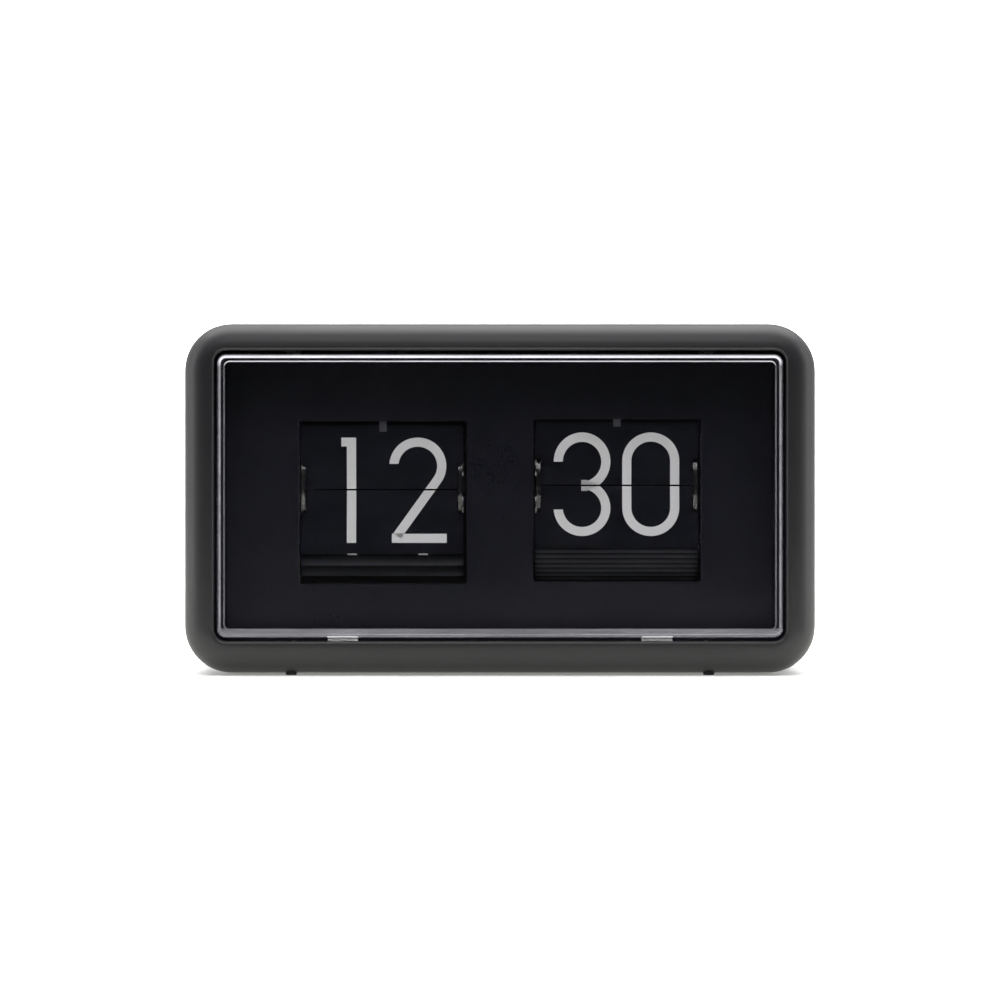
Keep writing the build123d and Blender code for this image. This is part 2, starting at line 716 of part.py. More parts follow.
def hour_gear():
    x_disc = HOUR_DRUM_X + DISC_IN
    body = bar(HUB_R, x_disc, -1.2, AXIS_Y, AXIS_Z)
    half_tooth = 180.0 / HOUR_GEAR_T
    teeth = wheel(HOUR_GEAR_T, COARSE, IDLER_ANGLE + half_tooth, *HOUR_GEAR_X, AXIS_Y, AXIS_Z)
    body = body + lightened(teeth, 8.2, 2.7, AXIS_Y, AXIS_Z)
    return bored(body, SHAFT_R + RUN_GAP, AXIS_Y, AXIS_Z)


def minute_pinion():
    x_disc = MINUTE_DRUM_X - DISC_IN
    body = bar(HUB_R, MINUTE_PINION_X[1], x_disc, AXIS_Y, AXIS_Z)
    body = body + bar(2.0, 1.2, MINUTE_PINION_X[0], AXIS_Y, AXIS_Z)
    body = body + pinion(MINUTE_PINION_T, FINE, IDLER_ANGLE, *MINUTE_PINION_X, AXIS_Y, AXIS_Z)
    return bored(body, SHAFT_R + RUN_GAP, AXIS_Y, AXIS_Z)


def minute_drive_gear():
    x_disc = MINUTE_DRUM_X + DISC_IN
    body = bar(HUB_R, x_disc, RIGHT_PLATE_X - 0.4, AXIS_Y, AXIS_Z)
    teeth = wheel(DRIVE_GEAR_T, FINE, 0, *DRIVE_GEAR_X, AXIS_Y, AXIS_Z)
    body = body + lightened(teeth, 9.0, 3.0, AXIS_Y, AXIS_Z)
    return bored(body, SHAFT_R + RUN_GAP, AXIS_Y, AXIS_Z)


# ---------- leaves ----------
def leaf(x, length, heel, neck):
    """One number leaf standing on its ears at the origin, its thickness centred there."""
    corner = LEAF_CORNER_R
    points = [
        (NECK_HALF_W, -heel),
        (NECK_HALF_W, -EAR_HALF),
        (EAR_OUT, -EAR_HALF),
        (EAR_OUT, EAR_HALF),
        (NECK_HALF_W, EAR_HALF),
        (NECK_HALF_W, neck),
        (LEAF_HALF_W, neck + 0.6),
        (LEAF_HALF_W, length - corner),
        (LEAF_HALF_W - 0.3 * corner, length - 0.3 * corner),
        (LEAF_HALF_W - corner, length),
    ]
    mirrored = [(-u, v) for u, v in reversed(points)]
    face = Plane.XZ.offset(-LEAF_T / 2) * make_face(Polyline(*points, *mirrored, close=True))
    return Pos(x, 0, 0) * extrude(face, LEAF_T, dir=(0, -1, 0))


def placed_leaf(flat_leaf, angle, lie):
    """Puts a leaf's ears at an angle on the drum. lie is where it points: 90 up, -90 down."""
    y, z = pivot_point(angle)
    return Pos(0, y, z) * Rot(90 - lie, 0, 0) * flat_leaf


def leaf_set(x, count, length, heel, neck, first_angle, fan):
    """All leaves of one drum: the next to fall, the fan behind it, the front lower one, the rest."""
    flat = leaf(x, length, heel, neck)
    pitch = 360.0 / count
    standing_count = count // 2
    falling = placed_leaf(flat, first_angle, first_angle + fan)
    standing = []
    for k in range(1, standing_count + 1):
        angle = first_angle + k * pitch
        standing.append(placed_leaf(flat, angle, angle + fan))
    lower = placed_leaf(flat, first_angle - pitch, LOWER_LEAN)
    hanging = []
    for k in range(2, count - standing_count):
        held = HELD_FORWARD[k - 2] if k - 2 < len(HELD_FORWARD) else 0
        hanging.append(placed_leaf(flat, first_angle - k * pitch, HANGING + held))
    return falling, standing, lower, hanging


# ---------- idler, setting wheel, motor output ----------
def idler_arbor():
    return bar(SMALL_ARBOR_R, -9.6, 7.4, IDLER_Y, IDLER_Z)


def idler_wheel():
    half_tooth = 180.0 / IDLER_WHEEL_T
    at = IDLER_ANGLE + 180 + half_tooth
    body = wheel(IDLER_WHEEL_T, FINE, at, *IDLER_WHEEL_X, IDLER_Y, IDLER_Z)
    body = lightened(body, 9.0, 3.0, IDLER_Y, IDLER_Z)
    body = body + bar(GEAR_HUB_R, IDLER_BEARING_HALF + 0.2, IDLER_WHEEL_X[0], IDLER_Y, IDLER_Z)
    return bored(body, SMALL_ARBOR_R + FORCE_FIT, IDLER_Y, IDLER_Z)


def idler_pinion():
    body = pinion(IDLER_PINION_T, COARSE, IDLER_ANGLE + 180, *IDLER_PINION_X, IDLER_Y, IDLER_Z)
    body = body + bar(GEAR_HUB_R, IDLER_PINION_X[1], -IDLER_BEARING_HALF - 0.2, IDLER_Y, IDLER_Z)
    return bored(body, SMALL_ARBOR_R + FORCE_FIT, IDLER_Y, IDLER_Z)


def setting_arbor():
    end_x = RIGHT_PLATE_X + SIDE_PLATE_T + SETTING_BEARING + 0.3
    body = bar(SETTING_ARBOR_R, 58.4, end_x + 0.8, SETTING_Y, SETTING_Z)
    return body + bar(2.0, end_x, end_x + 0.8, SETTING_Y, SETTING_Z)


def setting_pinion():
    half_tooth = 180.0 / SETTING_PINION_T
    at = 180 + half_tooth
    body = pinion(SETTING_PINION_T, FINE, at, *SETTING_PINION_X, SETTING_Y, SETTING_Z)
    body = body + bar(GEAR_HUB_R, SETTING_PINION_X[1], SETTING_X0, SETTING_Y, SETTING_Z)
    return bored(body, SETTING_ARBOR_R + FORCE_FIT, SETTING_Y, SETTING_Z)


def setting_wheel():
    """A finger wheel with a finely notched rim."""
    points = []
    for k in range(2 * SETTING_KNURLS):
        radius = SETTING_WHEEL_R - SETTING_KNURL_DEPTH * (k % 2)
        angle = pi * k / SETTING_KNURLS
        points.append((radius * cos(angle), radius * sin(angle)))
    face = Plane.YZ * make_face(Polyline(*points, close=True))
    body = extrude(face, SETTING_X1 - SETTING_X0, dir=(1, 0, 0))
    body = Pos(SETTING_X0, SETTING_Y, SETTING_Z) * body
    dish_r = SETTING_WHEEL_R - 2.6
    for x0, x1 in ((SETTING_X0 - 1, SETTING_X0 + 0.9), (SETTING_X1 - 0.9, SETTING_X1 + 1)):
        dish = bar(dish_r, x0, x1, SETTING_Y, SETTING_Z) - bar(3.0, x0, x1, SETTING_Y, SETTING_Z)
        body = body - dish
    return bored(body, SETTING_ARBOR_R + FORCE_FIT, SETTING_Y, SETTING_Z)


def motor_arbor():
    return bar(SMALL_ARBOR_R, 58.6, MOVE_X0 + MOVE_WALL + 3.5, MOTOR_Y, MOTOR_Z)


def motor_pinion():
    half_tooth = 180.0 / MOTOR_PINION_T
    at = 90 + half_tooth
    body = pinion(MOTOR_PINION_T, FINE, at, *MOTOR_PINION_X, MOTOR_Y, MOTOR_Z)
    body = body + bar(2.2, MOTOR_PINION_X[1], MOTOR_PINION_X[1] + 2.3, MOTOR_Y, MOTOR_Z)
    return bored(body, SMALL_ARBOR_R + FORCE_FIT, MOTOR_Y, MOTOR_Z)


# ---------- motor unit ----------
def movement_screw_heights():
    return [MOVE_Z0 - EAR_H / 2, MOVE_Z1 + EAR_H / 2]


def movement_case():
    body = block(MOVE_X0, MOVE_X1, MOVE_Y0, MOVE_Y1, MOVE_Z0, MOVE_Z1)
    body = fillet(body.edges().filter_by(Axis.X), 2.0)
    room = block(
        MOVE_X0 + MOVE_WALL,
        MOVE_X1 + 1,
        MOVE_Y0 + MOVE_WALL,
        MOVE_Y1 - MOVE_WALL,
        MOVE_Z0 + MOVE_WALL,
        MOVE_Z1 - MOVE_WALL,
    )
    body = body - room
    ear_x0 = RIGHT_PLATE_X + SIDE_PLATE_T
    for z in movement_screw_heights():
        low = z - EAR_H / 2
        high = z + EAR_H / 2
        ear = block(ear_x0, MOVE_X0 + EAR_T, MOTOR_Y - EAR_W / 2, MOTOR_Y + EAR_W / 2, low, high)
        body = body + ear
        body = body - bar(ROD_SCREW_R + 0.1, ear_x0 - 1, MOVE_X0 + 4, MOTOR_Y, z)
    body = body - bar(SMALL_ARBOR_R + RUN_GAP, MOVE_X0 - 1, MOVE_X0 + 3, MOTOR_Y, MOTOR_Z)
    lead_hole = Pos(LEAD_END_X, LEAD_Y, MOVE_Z0 + 0.5) * Cylinder(1.9, 3)
    return body - lead_hole


def movement_lid():
    lid = block(MOVE_X1, MOVE_X1 + MOVE_LID_T, MOVE_Y0, MOVE_Y1, MOVE_Z0, MOVE_Z1)
    lid = fillet(lid.edges().filter_by(Axis.X), 2.0)
    inset = MOVE_WALL + 0.15
    lip = block(
        MOVE_X1 - 1.2,
        MOVE_X1,
        MOVE_Y0 + inset,
        MOVE_Y1 - inset,
        MOVE_Z0 + inset,
        MOVE_Z1 - inset,
    )
    hollow = block(
        MOVE_X1 - 2,
        MOVE_X1,
        MOVE_Y0 + inset + 1,
        MOVE_Y1 - inset - 1,
        MOVE_Z0 + inset + 1,
        MOVE_Z1 - inset - 1,
    )
    return lid + (lip - hollow)


def gear_motor():
    """The sealed stepper motor and reduction, turning the output arbor."""
    x0 = MOVE_X0 + MOVE_WALL + 0.1
    can = bar(9.0, x0, x0 + 9.0, MOTOR_Y, MOTOR_Z)
    can = fillet(can.edges().group_by(Axis.X)[-1], 0.8)
    coil = block(x0, x0 + 7.0, MOTOR_Y - 8, MOTOR_Y + 8, MOTOR_Z + 8, MOTOR_Z + 15)
    can = can + coil
    return can - bar(SMALL_ARBOR_R + RUN_GAP, x0 - 1, x0 + 4.5, MOTOR_Y, MOTOR_Z)


def circuit_board():
    x0 = MOVE_X0 + 12.0
    board = block(x0, x0 + 1.0, MOVE_Y0 + 3, MOVE_Y1 - 3, MOVE_Z0 + 4, MOVE_Z1 - 4)
    chip = Pos(x0 - 0.6, MOTOR_Y, MOTOR_Z + 12) * Cylinder(3.4, 1.2, rotation=(0, 90, 0))
    return board + chip


def crystal_can():
    x0 = MOVE_X0 + 12.0
    radius = 1.0
    can = Pos(x0 - radius, MOTOR_Y + 6.5, MOTOR_Z + 14) * Cylinder(radius, 6.0)
    return fillet(can.edges().group_by(Axis.Z)[-1], 0.3)


def movement_screws():
    seat_x = MOVE_X0 + EAR_T
    shank = seat_x - RIGHT_PLATE_X
    screw = slotted_screw(shank, ROD_SCREW_HEAD_R, ROD_SCREW_HEAD_H, ROD_SCREW_R)
    return [facing_right(screw, seat_x, MOTOR_Y, z) for z in movement_screw_heights()]


# ---------- battery ----------
def battery_cell():
    body = Pos(CELL_X, CELL_Y, CELL_Z0 + CELL_BODY / 2) * Cylinder(CELL_R, CELL_BODY)
    body = fillet(body.edges().filter_by(GeomType.CIRCLE), 0.5)
    nub_z = CELL_Z0 + CELL_BODY
    nub = Pos(CELL_X, CELL_Y, nub_z + CELL_NUB / 2) * Cylinder(CELL_NUB_R, CELL_NUB)
    return body + nub


def contact_strip(z, up):
    """A plated strip bent over the compartment's end, with a tail out through the side wall."""
    half_t = STRIP_T / 2
    front_y = CELL_Y - STRIP_HALF_W
    rear_y = CELL_Y + STRIP_HALF_W
    tail_x1 = BOX_X1 + 1.6
    strip = block(CELL_X - 5, tail_x1, front_y, rear_y, z - half_t, z + half_t)
    low = z - half_t if up else z - 4
    high = z + 4 if up else z + half_t
    tail = block(tail_x1 - STRIP_T, tail_x1, front_y, rear_y, low, high)
    return strip + tail


def battery_positive_contact():
    z = contact_slots()[1]
    dimple_low = CELL_Z0 + CELL_BODY + CELL_NUB + 0.02
    dimple = Pos(CELL_X, CELL_Y, (dimple_low + z) / 2) * Cylinder(1.6, z - dimple_low)
    return contact_strip(z, False) + dimple


def battery_negative_spring():
    """A strip, and the coil spring that stands on it."""
    z = contact_slots()[0]
    foot_z = z + STRIP_T / 2
    low = foot_z + SPRING_WIRE_R + 0.02
    high = CELL_Z0 - SPRING_WIRE_R - 0.03
    path = Helix(pitch=(high - low) / SPRING_TURNS, height=high - low, radius=SPRING_R)
    section = Plane(path @ 0, z_dir=path % 0) * Circle(SPRING_WIRE_R)
    coil = sweep(section, path=path, is_frenet=True)
    coil = Pos(CELL_X, CELL_Y, low) * coil
    return [contact_strip(z, True), coil]


def lead(start_z, shift):
    """An insulated wire from the battery box, along the floor, up into the motor unit."""
    x = LEAD_X
    y = CELL_Y
    low = LEAD_LOW_Z
    run_y = LEAD_Y + shift
    path = FilletPolyline(
        (x, y + shift, start_z),
        (x, y + shift, low),
        (x + 6, run_y, low),
        (LEAD_END_X, run_y, low),
        (LEAD_END_X, run_y, MOVE_Z0 + 3),
        radius=LEAD_BEND_R,
    )
    section = Plane(path @ 0, z_dir=path % 0) * Circle(LEAD_R)
    return sweep(section, path=path)


def battery_leads():
    low, high = contact_slots()
    return [lead(high - 3.4, -0.75), lead(low + 3.0, 0.75)]


# ---------- everything ----------
def save(name, solids):
    """Writes one node. A list of separate solids goes in as one group."""
    thing = Compound(children=list(solids)) if isinstance(solids, list) else solids
    export_step(thing, f"parts/{name}.step")


def disc_pair(name, x, count, first_angle):
    save(name + "_left_disc", drum_disc(x - DISC_OUT, count, first_angle))
    save(name + "_right_disc", drum_disc(x + DISC_IN, count, first_angle))


def save_leaves(name, leaves):
    falling, standing, lower, hanging = leaves
    save(name + "_falling_leaf", falling)
    save(name + "_standing_leaves", standing)
    save(name + "_front_lower_leaf", lower)
    save(name + "_hanging_leaves", hanging)


def main():
    os.makedirs("parts", exist_ok=True)
    save("front_shell", front_shell())
    save("rubber_feet", rubber_feet())
    save("window_lens", window_lens())
    save("faceplate", faceplate())
    save("hour_catch_finger", catch_finger(-APERTURE_X, HOUR_FINGER_LOW))
    save("minute_catch_finger", catch_finger(APERTURE_X, MINUTE_FINGER_LOW))
    save("rear_cover", rear_cover())
    save("battery_door", battery_door())
    bosses = corners(BOSS_X, BOSS_Z_LOW, BOSS_Z_HIGH)
    save("cover_screws", screws_facing_rear(bosses, COVER_OUT_Y - 1.3, 10.0))
    posts = corners(POST_X, POST_Z_LOW, POST_Z_HIGH)
    save("faceplate_screws", screws_facing_rear(posts, PLATE_BACK_Y, 8.0))
    save("left_plate", left_plate())
    save("middle_plate", middle_plate())
    save("right_plate", right_plate())
    save("frame_screws", screws_facing_rear(flange_screws(), SIDE_PLATE_Y0, 5.5))
    save("tie_rods", tie_rods())
    save("tie_rod_screws", tie_rod_screws())
    save("drum_shaft", drum_shaft())
    save("shaft_clips", shaft_clips())
    disc_pair("hour", HOUR_DRUM_X, HOUR_COUNT, HOUR_FIRST)
    save("hour_spool", spool(HOUR_DRUM_X - DISC_IN, HOUR_DRUM_X + DISC_IN, 1.7))
    save("hour_gear", hour_gear())
    disc_pair("minute", MINUTE_DRUM_X, MINUTE_COUNT, MINUTE_FIRST)
    save("minute_spool", spool(MINUTE_DRUM_X - DISC_IN, MINUTE_DRUM_X + DISC_IN, 0))
    save("minute_pinion", minute_pinion())
    save("minute_drive_gear", minute_drive_gear())
    hour = (HOUR_COUNT, HOUR_LENGTH, HOUR_HEEL, HOUR_NECK, HOUR_FIRST, HOUR_FAN)
    save_leaves("hour", leaf_set(HOUR_DRUM_X, *hour))
    minute = (MINUTE_COUNT, MINUTE_LENGTH, MINUTE_HEEL, MINUTE_NECK, MINUTE_FIRST, MINUTE_FAN)
    save_leaves("minute", leaf_set(MINUTE_DRUM_X, *minute))
    save("idler_arbor", idler_arbor())
    save("idler_wheel", idler_wheel())
    save("idler_pinion", idler_pinion())
    save("setting_arbor", setting_arbor())
    save("setting_pinion", setting_pinion())
    save("setting_wheel", setting_wheel())
    save("motor_arbor", motor_arbor())
    save("motor_pinion", motor_pinion())
    save("movement_case", movement_case())
    save("movement_lid", movement_lid())
    save("gear_motor", gear_motor())
    save("circuit_board", circuit_board())
    save("crystal_can", crystal_can())
    save("movement_screws", movement_screws())
    save("battery_cell", battery_cell())
    save("battery_positive_contact", battery_positive_contact())
    save("battery_negative_spring", battery_negative_spring())
    save("battery_leads", battery_leads())


main()
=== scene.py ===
import json
from math import cos, pi, radians, sin

import bpy
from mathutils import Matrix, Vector


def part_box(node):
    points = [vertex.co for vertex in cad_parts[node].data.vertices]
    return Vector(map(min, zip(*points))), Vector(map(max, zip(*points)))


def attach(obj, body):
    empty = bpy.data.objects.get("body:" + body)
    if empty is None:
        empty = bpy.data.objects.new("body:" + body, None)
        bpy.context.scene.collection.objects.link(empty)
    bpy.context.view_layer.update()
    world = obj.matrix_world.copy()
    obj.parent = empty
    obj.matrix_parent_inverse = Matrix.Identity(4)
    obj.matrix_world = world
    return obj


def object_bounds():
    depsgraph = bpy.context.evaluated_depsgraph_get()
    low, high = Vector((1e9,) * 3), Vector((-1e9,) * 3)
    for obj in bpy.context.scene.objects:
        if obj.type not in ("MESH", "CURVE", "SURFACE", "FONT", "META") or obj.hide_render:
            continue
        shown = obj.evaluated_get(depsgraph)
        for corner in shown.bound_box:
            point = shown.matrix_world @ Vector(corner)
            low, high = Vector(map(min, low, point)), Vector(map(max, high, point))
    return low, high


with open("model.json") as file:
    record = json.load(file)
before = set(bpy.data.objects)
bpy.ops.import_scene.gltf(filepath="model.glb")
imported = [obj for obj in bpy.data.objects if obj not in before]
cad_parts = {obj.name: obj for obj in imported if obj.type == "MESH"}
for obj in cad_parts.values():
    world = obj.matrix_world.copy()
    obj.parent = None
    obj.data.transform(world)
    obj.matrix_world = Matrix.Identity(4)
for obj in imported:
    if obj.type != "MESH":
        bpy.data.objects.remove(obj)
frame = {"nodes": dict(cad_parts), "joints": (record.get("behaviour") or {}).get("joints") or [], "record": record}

CAD_LOW, CAD_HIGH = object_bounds()
NODES = frame["nodes"]
JOINTS = {joint["name"]: joint for joint in frame["joints"]}
MM = 0.001

# the drums' axis as (y, z), and the radius of the circle the leaves hang on, in millimetres
AXIS = [v / MM for v in JOINTS["hour_drum_spin"]["pos_m"][1:]]
PIVOT_R = 14.3

# each drum's leaves: angle of the first leaf's ears, angle between leaves, how far back a leaf
# leans past its ears' angle, and a leaf's length above its ears in millimetres
HOUR_FIRST, HOUR_PITCH, HOUR_FAN, HOUR_LENGTH = 3.2, 15.0, 82.8, 16.85
MINUTE_FIRST, MINUTE_PITCH, MINUTE_FAN, MINUTE_LENGTH = 3.7, 6.0, 82.3, 17.45
# which way the front lower leaf and the one behind it point, in degrees, -90 being straight down
LOWER_LIE = -86.0
BEHIND_LIE = -88.3


# brightness of the painted highlight along the clear tray's edge, and the height of its lower edge without the snap
# tabs
RIM_TOP = 1.0
RIM_SIDE = 0.27
RIM_FOOT = 0.17
LINE_TOP = 1.0
LINE_SIDE = 0.19
LENS_LOW_Z = 0.0110
# strength of the painted glow on the clear tray's edges, standing in for light the clear plastic carries from above
RIM_GLOW_STRENGTH = 0.28
# corner radii of the tray's outline and of the line inside it, and how far in and up that line lies
RIM_CORNER_R = 0.0026
LINE_CORNER_R = 0.0016
LINE_IN = 0.00205
LINE_RISE = 0.00012
# heights between which the sides' painted highlight turns into the top's
TOP_START_Z, TOP_FULL_Z = 0.0885, 0.0905
# middle of each snap tab, left and right
TAB_X = 0.045


# ---------- material building ----------
class Nodes:
    """A short way to add shader nodes to a material."""

    def __init__(self, name):
        self.material = bpy.data.materials.new(name)
        self.material.use_nodes = True
        self.tree = self.material.node_tree
        self.shader = self.tree.nodes["Principled BSDF"]
        self.place = self.add("ShaderNodeTexCoord").outputs["Object"]

    def add(self, kind, **settings):
        node = self.tree.nodes.new(kind)
        for key, value in settings.items():
            setattr(node, key, value)
        return node

    def link(self, source, target):
        self.tree.links.new(source, target)

    def stretched(self, scale):
        """Object coordinates scaled along each axis."""
        mapping = self.add("ShaderNodeMapping")
        mapping.inputs["Scale"].default_value = scale
        self.link(self.place, mapping.inputs["Vector"])
        return mapping.outputs["Vector"]

    def noise(self, scale, detail=3.0, rough=0.5, place=None):
        """scale is in cycles per metre."""
        node = self.add("ShaderNodeTexNoise")
        node.inputs["Scale"].default_value = scale
        node.inputs["Detail"].default_value = detail
        node.inputs["Roughness"].default_value = rough
        self.link(place or self.place, node.inputs["Vector"])
        return node.outputs["Fac"]

    def spread(self, source, low, high, start=0.3, end=0.7):
        node = self.add("ShaderNodeMapRange")
        node.inputs["From Min"].default_value = start
        node.inputs["From Max"].default_value = end
        node.inputs["To Min"].default_value = low
        node.inputs["To Max"].default_value = high
        self.link(source, node.inputs["Value"])
        return node.outputs["Result"]

    def colours(self, source, stops):
        node = self.add("ShaderNodeValToRGB")
        ramp = node.color_ramp
        while len(ramp.elements) < len(stops):
            ramp.elements.new(0.5)
        for element, (position, colour) in zip(ramp.elements, stops):
            element.position = position
            element.color = (*colour, 1.0)
        self.link(source, node.inputs["Fac"])
        return node.outputs["Color"]

    def mix(self, factor, first, second, blend="MIX"):
        node = self.add("ShaderNodeMix", data_type="RGBA", blend_type=blend)
        self.link(factor, node.inputs["Factor"])
        self.link(first, node.inputs["A"])
        self.link(second, node.inputs["B"])
        return node.outputs["Result"]

    def total(self, first, second):
        node = self.add("ShaderNodeMath", operation="ADD")
        self.link(first, node.inputs[0])
        self.link(second, node.inputs[1])
        return node.outputs["Value"]

    def math(self, operation, first, second=0.0, third=0.0):
        """Each value is a socket or a number."""
        node = self.add("ShaderNodeMath", operation=operation)
        for socket, value in zip(node.inputs, (first, second, third)):
            if isinstance(value, (int, float)):
                socket.default_value = value
            else:
                self.link(value, socket)
        return node.outputs["Value"]

    def inside_rounded(self, centre_z, half_w, half_h, radius):
        """How deep a place lies inside an upright rounded rectangle, in metres."""
        split = self.add("ShaderNodeSeparateXYZ")
        self.link(self.place, split.inputs["Vector"])
        x = self.math("SUBTRACT", self.math("ABSOLUTE", split.outputs["X"]), half_w - radius)
        from_middle = self.math("SUBTRACT", split.outputs["Z"], centre_z)
        z = self.math("SUBTRACT", self.math("ABSOLUTE", from_middle), half_h - radius)
        out_x = self.math("MAXIMUM", x, 0.0)
        out_z = self.math("MAXIMUM", z, 0.0)
        out_z_squared = self.math("MULTIPLY", out_z, out_z)
        corner = self.math("SQRT", self.math("MULTIPLY_ADD", out_x, out_x, out_z_squared))
        straight = self.math("MINIMUM", self.math("MAXIMUM", x, z), 0.0)
        return self.math("SUBTRACT", radius, self.math("ADD", corner, straight))

    def bump(self, height, distance, strength=1.0, below=None):
        node = self.add("ShaderNodeBump")
        node.inputs["Strength"].default_value = strength
        node.inputs["Distance"].default_value = distance
        self.link(height, node.inputs["Height"])
        if below is not None:
            self.link(below, node.inputs["Normal"])
        return node.outputs["Normal"]

    def set(self, socket, value):
        target = self.shader.inputs[socket]
        if isinstance(value, (int, float)):
            target.default_value = value
        elif isinstance(value, tuple):
            target.default_value = (*value, 1.0)
        else:
            self.link(value, target)


def worn(n, width, light):
    """A factor that is high on sharp outer edges, broken up by noise."""
    edge = n.add("ShaderNodeBevel", samples=4)
    edge.inputs["Radius"].default_value = width
    geometry = n.add("ShaderNodeNewGeometry")
    dot = n.add("ShaderNodeVectorMath", operation="DOT_PRODUCT")
    n.link(edge.outputs["Normal"], dot.inputs[0])
    n.link(geometry.outputs["Normal"], dot.inputs[1])
    sharp = n.spread(dot.outputs["Value"], 1.0, 0.0, 0.90, 1.0)
    patches = n.spread(n.noise(160, 4), 0.0, light, 0.42, 0.72)
    node = n.add("ShaderNodeMath", operation="MULTIPLY")
    n.link(sharp, node.inputs[0])
    n.link(patches, node.inputs[1])
    return node.outputs["Value"]


def moulded_plastic(name, dark, light, rough, grain, grain_depth, edge_light=0.0, specular=0.5):
    """Moulded plastic: faint cloudiness, a fine spark-eroded grain and uneven sheen."""
    n = Nodes(name)
    cloud = n.noise(35, 4, 0.55)
    colour = n.colours(cloud, [(0.3, dark), (0.7, light)])
    if edge_light:
        rubbed = n.colours(cloud, [(0.0, tuple(2.1 * c for c in light)), (1.0, tuple(2.4 * c for c in light))])
        colour = n.mix(worn(n, 0.0006, edge_light), colour, rubbed)
    n.set("Base Color", colour)
    handled = n.noise(22, 5, 0.6)
    fine = n.noise(grain, 2, 0.6)
    n.set("Roughness", n.total(n.spread(handled, rough[0], rough[1]), n.spread(fine, -0.03, 0.03)))
    n.set("Specular IOR Level", specular)
    sink = n.bump(n.noise(14, 1), 0.00012, 0.5)
    n.set("Normal", n.bump(fine, grain_depth, 0.6, sink))
    return n.material


def metal(name, colour, rough, brush=(1.0, 1.0, 1.0), scratch=0.4, stain=0.86):
    """Bare metal with brushing along one direction and dull patches."""
    n = Nodes(name)
    tint = n.noise(60, 5, 0.6)
    n.set("Base Color", n.colours(tint, [(0.3, tuple(stain * c for c in colour)), (0.7, colour)]))
    lines = n.noise(1500, 2, 0.7, n.stretched(brush))
    n.set("Metallic", 1.0)
    n.set("Roughness", n.total(n.spread(tint, rough[0], rough[1]), n.spread(lines, -0.05, 0.07)))
    n.set("Normal", n.bump(lines, 0.00002, scratch))
    return n.material


def painted_rim_highlight(n):
    """Mask for the painted highlight on the clear tray's rim and wall: a band at its edge, a thin line inside, a
    streaky band at its foot and the snap tabs.
    """
    low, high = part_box("window_lens")
    middle_z = (LENS_LOW_Z + high.z) / 2
    half_h = high.z - middle_z
    depth = n.inside_rounded(middle_z, high.x, half_h, RIM_CORNER_R)
    line_half_h = half_h - LINE_IN - LINE_RISE
    inner = n.inside_rounded(middle_z + LINE_RISE, high.x - LINE_IN, line_half_h, LINE_CORNER_R)
    split = n.add("ShaderNodeSeparateXYZ")
    n.link(n.place, split.inputs["Vector"])
    height = split.outputs["Z"]
    patchy = n.spread(n.noise(120, 3, 0.6, n.stretched((0.25, 1.0, 1.0))), 0.82, 1.12)
    brighter_inwards = n.spread(depth, 0.1, 1.0, 0.0001, 0.0008)
    band = n.math("MULTIPLY", brighter_inwards, n.spread(depth, 1.0, 0.0, 0.00095, 0.0012))
    rise = n.spread(height, RIM_SIDE, RIM_TOP, TOP_START_Z, TOP_FULL_Z)
    band = n.math("MULTIPLY", band, rise)
    line = n.spread(n.math("ABSOLUTE", inner), 1.0, 0.0, 0.00006, 0.00022)
    line = n.math("MULTIPLY", line, n.spread(height, LINE_SIDE, LINE_TOP, TOP_START_Z, TOP_FULL_Z))
    streaks = n.spread(n.noise(900, 3, 0.7, n.stretched((0.02, 1.0, 1.0))), 0.55, 1.5)
    foot = n.math("MULTIPLY", n.spread(height, RIM_FOOT, 0.0, 0.0132, 0.0138), streaks)
    glow = n.math("MAXIMUM", n.math("MAXIMUM", band, line), foot)
    glow = n.math("MULTIPLY", glow, n.spread(inner, 1.0, 0.0, 0.00018, 0.0003))
    tab_x = n.math("ABSOLUTE", n.math("SUBTRACT", n.math("ABSOLUTE", split.outputs["X"]), TAB_X))
    tab = n.math("MULTIPLY", n.spread(tab_x, 1.0, 0.0, 0.0043, 0.0045), n.spread(height, 1.0, 0.0, 0.01125, 0.0114))
    glow = n.math("MAXIMUM", n.math("MULTIPLY", glow, patchy), tab)
    front = n.spread(split.outputs["Y"], 1.0, 0.0, low.y + 0.0007, low.y + 0.0012)
    return n.math("MINIMUM", n.math("MULTIPLY", glow, front), 1.0)


